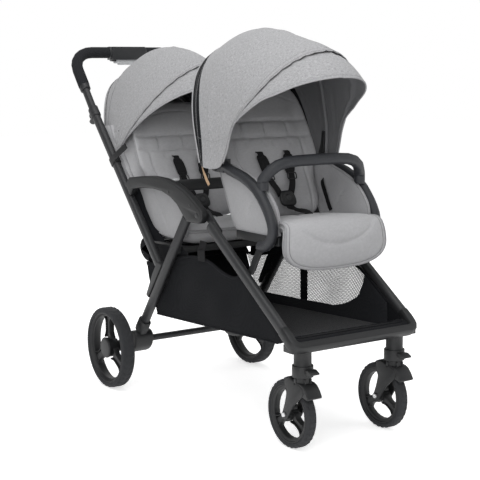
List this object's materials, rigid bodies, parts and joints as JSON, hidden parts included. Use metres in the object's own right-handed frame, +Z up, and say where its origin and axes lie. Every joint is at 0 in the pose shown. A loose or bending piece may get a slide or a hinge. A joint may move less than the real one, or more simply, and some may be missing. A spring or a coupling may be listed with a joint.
{
  "type": "tandem stroller",
  "caption": "Folding tandem stroller: two padded seats one behind the other, hooded canopies, swivel front wheels, U handle, bumper bar and a low basket.",
  "frame": {"origin": "centre of the footprint, on the floor", "axes": "+Z up; the front of the stroller faces -Y; +X is the left side of the person who pushes it"},
  "size_m": [0.575, 1.2884, 1.0945],
  "materials": {
    "frame_black": "satin black powder coat",
    "plastic_black": "moulded matt black",
    "tyre_black": "foam-filled tread",
    "foam_black": "foam grip",
    "leatherette_black": "stitched leatherette",
    "melange_grey": "melange woven canopy cloth",
    "pad_grey": "padded woven seat cloth",
    "basket_black": "black nylon and mesh",
    "webbing_black": "woven webbing",
    "bolt_steel": "zinc plated",
    "lever_grey": "moulded grey"
  },
  "bodies": {
    "rear_frame": {"push_tube_right": "frame_black", "push_tube_left": "frame_black", "handle_tube": "frame_black", "handle_foam_right": "foam_black", "handle_foam_left": "foam_black", "handle_housing": "plastic_black", "rear_arm_right": "plastic_black", "rear_arm_left": "plastic_black", "rear_leg_right": "frame_black", "rear_leg_left": "frame_black", "rear_housing_right": "plastic_black", "rear_housing_left": "plastic_black", "cross_tube": "frame_black", "rear_seat_frame": "plastic_black", "rear_seat_bucket": "pad_grey", "rear_bar": "plastic_black", "rear_buckle": "plastic_black", "rear_canopy_back": "melange_grey", "basket": "basket_black", "basket_pocket": "basket_black"},
    "front_frame_body": {"front_tube_right": "frame_black", "front_tube_left": "frame_black", "front_frame": "plastic_black", "front_seat_frame": "plastic_black", "front_seat_bucket": "pad_grey", "front_arm_right": "leatherette_black", "front_arm_left": "leatherette_black", "front_buckle": "plastic_black", "front_canopy_back": "melange_grey", "basket_apron": "basket_black"},
    "fold_lever": {"fold_lever": "lever_grey"},
    "brake_pedal": {"brake_pedal": "plastic_black"},
    "rear_wheel_right": {"rear_tyre_right": "tyre_black", "rear_rim_right": "plastic_black"},
    "rear_wheel_left": {"rear_tyre_left": "tyre_black", "rear_rim_left": "plastic_black"},
    "caster_right": {"fork_right": "plastic_black", "axle_bolt_right": "bolt_steel"},
    "caster_left": {"fork_left": "plastic_black", "axle_bolt_left": "bolt_steel"},
    "front_wheel_right": {"front_tyre_right": "tyre_black", "front_rim_right": "plastic_black"},
    "front_wheel_left": {"front_tyre_left": "tyre_black", "front_rim_left": "plastic_black"},
    "swivel_lock_right": {"swivel_lock_right": "plastic_black"},
    "swivel_lock_left": {"swivel_lock_left": "plastic_black"},
    "front_backrest": {"front_seat_back": "pad_grey", "front_harness_right": "webbing_black", "front_harness_left": "webbing_black"},
    "rear_backrest": {"rear_seat_back": "pad_grey", "rear_harness_right": "webbing_black", "rear_harness_left": "webbing_black"},
    "calf_rest": {"calf_rest": "pad_grey"},
    "bumper_bar": {"bumper_bar": "leatherette_black"},
    "front_canopy": {"front_canopy_main": "melange_grey"},
    "front_visor": {"front_canopy_visor": "melange_grey"},
    "rear_canopy": {"rear_canopy_main": "melange_grey"},
    "rear_visor": {"rear_canopy_visor": "melange_grey"},
    "front_buckle_button": {"front_buckle_button": "plastic_black"},
    "rear_buckle_button": {"rear_buckle_button": "plastic_black"}
  },
  "joints": [
    {"name": "frame_fold", "type": "hinge", "parent": "rear_frame", "child": "front_frame_body", "pos_m": [0, -0.18185, 0.581], "axis": [1, 0, 0], "range_deg": [0, 65], "deforming": ["basket"]},
    {"name": "fold_lever_squeeze", "type": "slide", "parent": "rear_frame", "child": "fold_lever", "axis": [0, 0, 1], "range_m": [0, 0.006], "stiffness_N_per_m": 300, "springref_m": -0.002},
    {"name": "brake_press", "type": "hinge", "parent": "rear_frame", "child": "brake_pedal", "pos_m": [0.138, 0.19315, 0.157], "axis": [-1, 0, 0], "range_deg": [0, 18]},
    {"name": "rear_wheel_right_spin", "type": "hinge", "parent": "rear_frame", "child": "rear_wheel_right", "pos_m": [-0.265, 0.27315, 0.126], "axis": [1, 0, 0], "continuous": true},
    {"name": "caster_right_swivel", "type": "hinge", "parent": "front_frame_body", "child": "caster_right", "pos_m": [-0.154, -0.58985, 0.2], "axis": [0, 0, 1], "continuous": true},
    {"name": "front_wheel_right_spin", "type": "hinge", "parent": "caster_right", "child": "front_wheel_right", "pos_m": [-0.154, -0.54185, 0.0915], "axis": [1, 0, 0], "continuous": true},
    {"name": "swivel_lock_right_press", "type": "hinge", "parent": "front_frame_body", "child": "swivel_lock_right", "pos_m": [-0.154, -0.62115, 0.221], "axis": [1, 0, 0], "range_deg": [0, 15]},
    {"name": "rear_wheel_left_spin", "type": "hinge", "parent": "rear_frame", "child": "rear_wheel_left", "pos_m": [0.265, 0.27315, 0.126], "axis": [1, 0, 0], "continuous": true},
    {"name": "caster_left_swivel", "type": "hinge", "parent": "front_frame_body", "child": "caster_left", "pos_m": [0.154, -0.58985, 0.2], "axis": [0, 0, 1], "continuous": true},
    {"name": "front_wheel_left_spin", "type": "hinge", "parent": "caster_left", "child": "front_wheel_left", "pos_m": [0.154, -0.54185, 0.0915], "axis": [1, 0, 0], "continuous": true},
    {"name": "swivel_lock_left_press", "type": "hinge", "parent": "front_frame_body", "child": "swivel_lock_left", "pos_m": [0.154, -0.62115, 0.221], "axis": [1, 0, 0], "range_deg": [0, 15]},
    {"name": "front_backrest_recline", "type": "hinge", "parent": "front_frame_body", "child": "front_backrest", "pos_m": [0, -0.28252, 0.57702], "axis": [1, 0, 0], "range_deg": [-35, 0]},
    {"name": "rear_backrest_recline", "type": "hinge", "parent": "rear_frame", "child": "rear_backrest", "pos_m": [0, 0.17271, 0.5319], "axis": [1, 0, 0], "range_deg": [-35, 0]},
    {"name": "calf_rest_raise", "type": "hinge", "parent": "front_frame_body", "child": "calf_rest", "pos_m": [0, -0.51455, 0.596], "axis": [1, 0, 0], "range_deg": [-70, 0]},
    {"name": "bumper_bar_swing", "type": "hinge", "parent": "front_frame_body", "child": "bumper_bar", "pos_m": [-0.1625, -0.42785, 0.6888], "axis": [0, 0, -1], "range_deg": [0, 85]},
    {"name": "front_canopy_fold", "type": "hinge", "parent": "front_frame_body", "child": "front_canopy", "pos_m": [0, -0.22685, 0.722], "axis": [1, 0, 0], "range_deg": [-50, 0], "deforming": ["front_canopy_main", "front_canopy_back"]},
    {"name": "front_visor_fold", "type": "hinge", "parent": "front_canopy", "child": "front_visor", "pos_m": [0, -0.22685, 0.722], "axis": [1, 0, 0], "range_deg": [-12, 0], "deforming": ["front_canopy_visor"]},
    {"name": "front_buckle_press", "type": "slide", "parent": "front_frame_body", "child": "front_buckle_button", "axis": [0, 0.9015, -0.4327], "range_m": [0, 0.0022], "stiffness_N_per_m": 400, "springref_m": -0.0008},
    {"name": "rear_canopy_fold", "type": "hinge", "parent": "rear_frame", "child": "rear_canopy", "pos_m": [0, 0.35815, 0.716], "axis": [1, 0, 0], "range_deg": [-50, 0], "deforming": ["rear_canopy_main", "rear_canopy_back"]},
    {"name": "rear_visor_fold", "type": "hinge", "parent": "rear_canopy", "child": "rear_visor", "pos_m": [0, 0.35815, 0.716], "axis": [1, 0, 0], "range_deg": [-12, 0], "deforming": ["rear_canopy_visor"]},
    {"name": "rear_buckle_press", "type": "slide", "parent": "rear_frame", "child": "rear_buckle_button", "axis": [0, 0.8899, -0.4562], "range_m": [0, 0.0022], "stiffness_N_per_m": 400, "springref_m": -0.0008}
  ]
}
